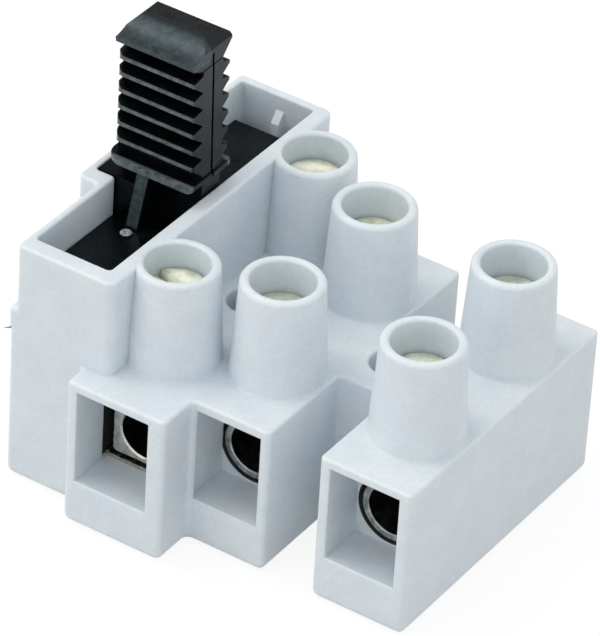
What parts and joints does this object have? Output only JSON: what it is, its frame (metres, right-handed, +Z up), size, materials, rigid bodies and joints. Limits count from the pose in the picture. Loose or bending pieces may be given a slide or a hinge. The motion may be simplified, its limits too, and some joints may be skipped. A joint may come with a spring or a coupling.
{
  "type": "fuse terminal block",
  "caption": "White screw terminal block for panel wiring with a fuse box at one side and a black pull-out fuse carrier with a ribbed grip.",
  "frame": {"origin": "middle of the underside, at the middle of the overall width and depth", "axes": "+X across the poles away from the fuse box, +Y along the poles to the back, +Z up out of the screw chimneys"},
  "size_m": [0.0374, 0.0346, 0.036],
  "materials": {
    "housing_nylon": "moulded, fine matt",
    "carrier_nylon": "moulded, satin black",
    "spring_bronze": "tinned strip",
    "nickel_brass": "nickel plated",
    "fuse_glass": "clear",
    "fuse_wire": "tinned wire",
    "zinc_steel": "zinc plated"
  },
  "bodies": {
    "base": {"housing": "housing_nylon", "base_cover": "housing_nylon", "fuse_clip_front": "spring_bronze", "fuse_clip_back": "spring_bronze", "clamp_block_a_front": "nickel_brass", "clamp_block_a_back": "nickel_brass", "clamp_tube_b": "nickel_brass", "clamp_tube_c": "nickel_brass"},
    "carrier": {"fuse_carrier": "carrier_nylon", "fuse_glass": "fuse_glass", "fuse_cap_front": "nickel_brass", "fuse_cap_back": "nickel_brass", "fuse_wire": "fuse_wire"},
    "screw_a_front": {"clamp_screw_a_front": "zinc_steel"},
    "screw_a_back": {"clamp_screw_a_back": "zinc_steel"},
    "screw_b_front": {"clamp_screw_b_front": "zinc_steel"},
    "screw_b_back": {"clamp_screw_b_back": "zinc_steel"},
    "screw_c_front": {"clamp_screw_c_front": "zinc_steel"},
    "screw_c_back": {"clamp_screw_c_back": "zinc_steel"}
  },
  "joints": [
    {"name": "carrier_pull", "type": "slide", "parent": "base", "child": "carrier", "axis": [0, 0, 1], "range_m": [0, 0.018]},
    {"name": "screw_a_front_drive", "type": "slide", "parent": "base", "child": "screw_a_front", "axis": [0, 0, -1], "range_m": [0, 0.0032]},
    {"name": "screw_a_back_drive", "type": "slide", "parent": "base", "child": "screw_a_back", "axis": [0, 0, -1], "range_m": [0, 0.0032]},
    {"name": "screw_b_front_drive", "type": "slide", "parent": "base", "child": "screw_b_front", "axis": [0, 0, -1], "range_m": [-0.0008, 0.0024]},
    {"name": "screw_b_back_drive", "type": "slide", "parent": "base", "child": "screw_b_back", "axis": [0, 0, -1], "range_m": [-0.0008, 0.0024]},
    {"name": "screw_c_front_drive", "type": "slide", "parent": "base", "child": "screw_c_front", "axis": [0, 0, -1], "range_m": [-0.0008, 0.0024]},
    {"name": "screw_c_back_drive", "type": "slide", "parent": "base", "child": "screw_c_back", "axis": [0, 0, -1], "range_m": [-0.0008, 0.0024]}
  ]
}
